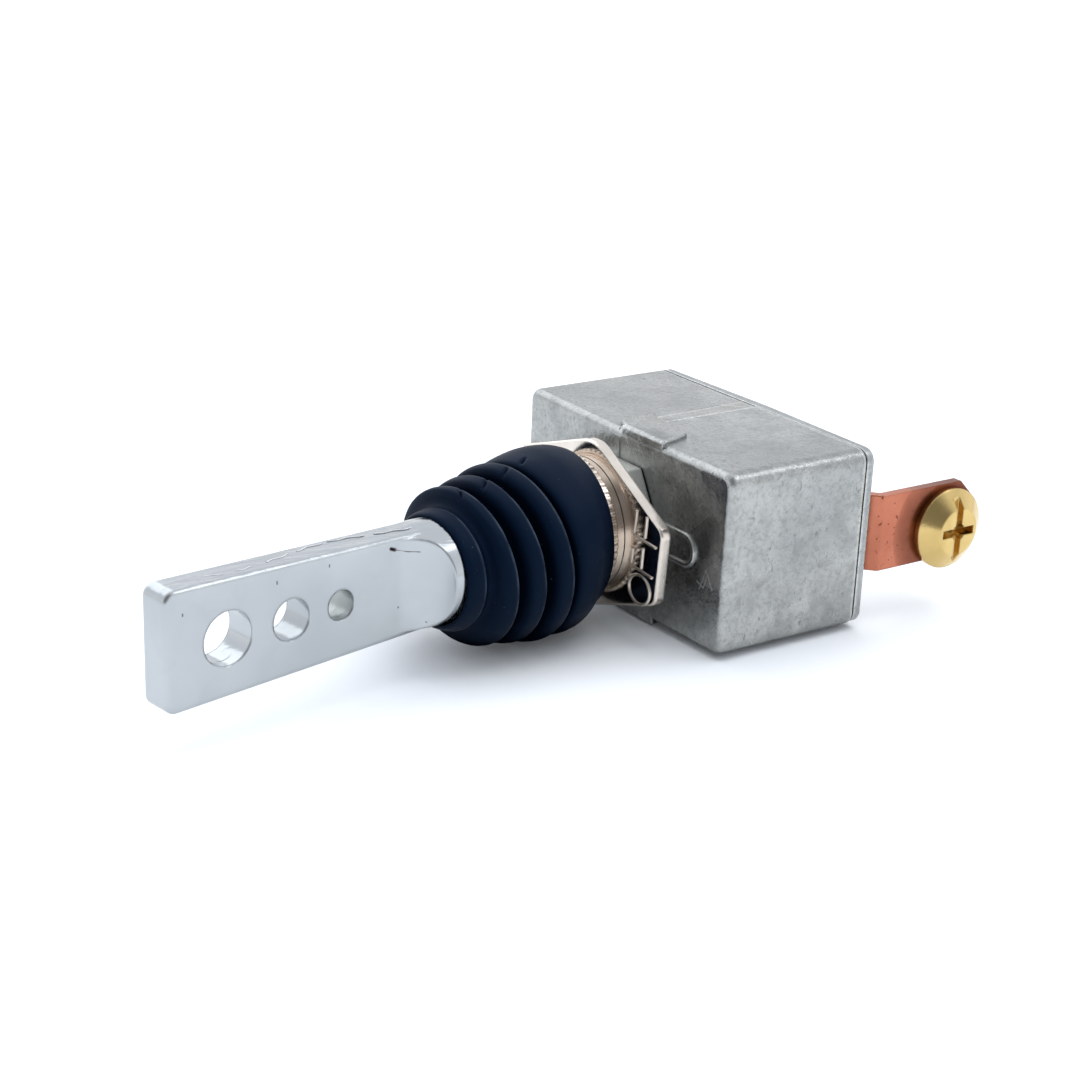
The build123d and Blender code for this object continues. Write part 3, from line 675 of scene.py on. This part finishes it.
def mould_line():
    along = Vector((math.sin(TURN), -math.cos(TURN), math.tan(LEVER_RISE)))
    across = Vector((math.cos(TURN), math.sin(TURN), 0))
    bars = []
    for start, end in MOULD_RUNS:
        points = []
        for i in range(MOULD_STEPS + 1):
            k = start + (end - start) * i / MOULD_STEPS
            side = math.sin(k * 0.21) + 0.15 * math.sin(k * 1.9) - 0.3
            half_height = BLADE_LOW + (BLADE_HIGH - BLADE_LOW) * (k - BLADE_START) / BLADE_LENGTH
            points.append(Vector((0, -1, half_height)) + along * k + across * side)
        bars.append(bar(points, Vector((0, 0, 1)), MOULD_HALF, MOULD_RISE))
    # Painted highlight: the mould line is a pale, nearly matt white, so it reads as a sparkle on the
    # chrome.
    pale = plain("mould_line_look", (0.72, 0.74, 0.78), (0.58, 0.60, 0.64), 0.4, 0.2)
    join_bars("lever_mould_line", bars, pale, "lever")


mould_line()


# Dark seam where the ring nut meets the plate
SEAM_ROOT, SEAM_TOP = 9.80, 9.875
SEAM_POINTS = 180


def ring_seam():
    rings = []
    for y, r in ((-5.69, SEAM_ROOT), (-5.70, SEAM_TOP), (-5.76, SEAM_TOP), (-5.79, SEAM_ROOT)):
        rings.append([(x, y, z) for x, z in oval(0, 0, r, r, SEAM_POINTS)])
    seam = ring_mesh("ring_seam", rings, False)
    seam.data.materials.append(plain("seam_look", (0.010, 0.006, 0.004), (0.02, 0.013, 0.01), 0.5))
    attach(seam, "case")


ring_seam()


# Floor and light
FLOOR_HALF = 3000
FLOOR_GAP = 0.0001
PAPER = (0.88, 0.92, 0.98, 1)
# What the floor's paper sends back to the object, a little less than what the camera sees
PAPER_BOUNCE = (0.77, 0.79, 0.81, 1)
# The floor glows more away from the object: from and to these distances and strengths
GLOW = (0.035, 0.30, 0.03, 0.60)
# The room's dark side: its direction, how near to it the light fades, and the strengths there
ROOM_SIDE = (0.70, -0.48, 0.53)
ROOM_FADE = (0.55, 0.90, 1.08, 0.30)
HORIZON, SKY, ZENITH = (1.0, 1.0, 1.0, 1), (0.84, 0.86, 0.89, 1), (0.84, 0.86, 0.88, 1)
SKY_HEIGHT, ZENITH_HEIGHT = 0.4, 0.9


def map_range(tree, limits):
    """A map range node with its limits: from min, from max, to min, to max."""
    node = tree.nodes.new("ShaderNodeMapRange")
    for key, value in zip(("From Min", "From Max", "To Min", "To Max"), limits):
        node.inputs[key].default_value = value
    return node


def build_floor():
    """White paper that looks brighter to the camera than to the object's reflections."""
    h = FLOOR_HALF
    floor = new_object("floor", [(-h, -h, 0), (h, -h, 0), (h, h, 0), (-h, h, 0)], [(0, 1, 2, 3)], False)
    floor.location.z = cad_box[0][2] - FLOOR_GAP
    mat = bpy.data.materials.new("floor_look")
    mat.use_nodes = True
    tree = mat.node_tree
    tree.nodes.clear()
    out = tree.nodes.new("ShaderNodeOutputMaterial")
    paper = tree.nodes.new("ShaderNodeBsdfDiffuse")
    paper.inputs["Color"].default_value = PAPER
    dim = tree.nodes.new("ShaderNodeBsdfDiffuse")
    dim.inputs["Color"].default_value = PAPER_BOUNCE
    place = tree.nodes.new("ShaderNodeTexCoord")
    away = tree.nodes.new("ShaderNodeVectorMath")
    away.operation = "LENGTH"
    fade = map_range(tree, GLOW)
    glow = tree.nodes.new("ShaderNodeEmission")
    both = tree.nodes.new("ShaderNodeAddShader")
    pick = tree.nodes.new("ShaderNodeMixShader")
    path = tree.nodes.new("ShaderNodeLightPath")
    tree.links.new(place.outputs["Object"], away.inputs[0])
    tree.links.new(away.outputs["Value"], fade.inputs["Value"])
    tree.links.new(fade.outputs[0], glow.inputs["Strength"])
    tree.links.new(paper.outputs[0], both.inputs[0])
    tree.links.new(glow.outputs[0], both.inputs[1])
    tree.links.new(path.outputs["Is Camera Ray"], pick.inputs[0])
    tree.links.new(dim.outputs[0], pick.inputs[1])
    tree.links.new(both.outputs[0], pick.inputs[2])
    tree.links.new(pick.outputs[0], out.inputs[0])
    floor.data.materials.append(mat)


def build_world():
    """A bright horizon, a softer zenith and a dim room on one side; white where the camera sees it."""
    world = bpy.data.worlds.new("studio")
    bpy.context.scene.world = world
    world.use_nodes = True
    tree = world.node_tree
    tree.nodes.clear()
    out = tree.nodes.new("ShaderNodeOutputWorld")
    coords = tree.nodes.new("ShaderNodeTexCoord")
    split = tree.nodes.new("ShaderNodeSeparateXYZ")
    ramp = tree.nodes.new("ShaderNodeValToRGB")
    stops = ramp.color_ramp.elements
    stops[0].position, stops[0].color = 0.0, HORIZON
    stops[1].position, stops[1].color = ZENITH_HEIGHT, ZENITH
    stops.new(SKY_HEIGHT).color = SKY
    facing = tree.nodes.new("ShaderNodeVectorMath")
    facing.operation = "DOT_PRODUCT"
    facing.inputs[1].default_value = ROOM_SIDE
    shade = map_range(tree, ROOM_FADE)
    shade.interpolation_type = "SMOOTHSTEP"
    light = tree.nodes.new("ShaderNodeBackground")
    tree.links.new(coords.outputs["Generated"], facing.inputs[0])
    tree.links.new(facing.outputs["Value"], shade.inputs["Value"])
    tree.links.new(shade.outputs[0], light.inputs[1])
    white = tree.nodes.new("ShaderNodeBackground")
    white.inputs[0].default_value = (1, 1, 1, 1)
    white.inputs[1].default_value = 1.0
    pick = tree.nodes.new("ShaderNodeMixShader")
    path = tree.nodes.new("ShaderNodeLightPath")
    tree.links.new(coords.outputs["Generated"], split.inputs[0])
    tree.links.new(split.outputs["Z"], ramp.inputs[0])
    tree.links.new(ramp.outputs[0], light.inputs[0])
    tree.links.new(path.outputs["Is Camera Ray"], pick.inputs[0])
    tree.links.new(light.outputs[0], pick.inputs[1])
    tree.links.new(white.outputs[0], pick.inputs[2])
    tree.links.new(pick.outputs[0], out.inputs[0])


def area_light(name, place, aim, size, power, colour, mirrored=True, spread=True):
    """mirrored shows the lamp in reflections, spread lets it light matt surfaces."""
    lamp = bpy.data.lights.new(name, "AREA")
    lamp.shape = "RECTANGLE"
    lamp.size, lamp.size_y = size
    lamp.energy = power
    lamp.color = colour
    obj = bpy.data.objects.new(name, lamp)
    obj.location = place
    obj.visible_glossy = mirrored
    obj.visible_diffuse = spread
    obj.rotation_euler = (Vector(place) - Vector(aim)).to_track_quat("Z", "Y").to_euler()
    bpy.context.scene.collection.objects.link(obj)


build_floor()
build_world()
area_light("top_softbox", (-0.05, 0.20, 0.60), (0, -0.02, 0), (0.8, 0.7), 3.2, (1.0, 0.99, 0.97), False)
area_light("left_softbox", (-0.55, -0.10, 0.35), (0, -0.03, 0), (0.6, 0.5), 0.8, (0.96, 0.98, 1.0))
area_light("edge_glint", (0.19, 0.30, 0.45), (0, 0, 0), (0.16, 0.16), 0.22, (1.0, 1.0, 1.0), True, False)
area_light("floor_fill", (0.30, -0.10, 0.55), (0.03, 0, 0), (0.6, 0.6), 1.0, (0.95, 0.98, 1.0), False)


# Camera at the photograph's viewing angle
SENSOR = 36.0
PHOTO_PIXELS = 1080
FOCAL_PIXELS = 2032.642
CAMERA_PLACE = (0.2266346, -0.1690721, 0.0998501)
CAMERA_RIGHT = (0.5544322, 0.8314533, 0.0359212)
CAMERA_UP = (-0.3063835, 0.1637918, 0.9377107)
CAMERA_BACK = (0.7737791, -0.5309026, 0.3455550)


def build_camera():
    data = bpy.data.cameras.new("camera")
    data.sensor_fit = "HORIZONTAL"
    data.sensor_width = SENSOR
    data.lens = FOCAL_PIXELS / PHOTO_PIXELS * SENSOR
    data.clip_start = 0.01
    data.clip_end = 20.0
    obj = bpy.data.objects.new("camera", data)
    turned = Matrix((CAMERA_RIGHT, CAMERA_UP, CAMERA_BACK)).transposed().to_4x4()
    obj.matrix_world = Matrix.Translation(CAMERA_PLACE) @ turned
    bpy.context.scene.collection.objects.link(obj)
    bpy.context.scene.camera = obj


build_camera()
bpy.context.scene.view_settings.view_transform = "Standard"
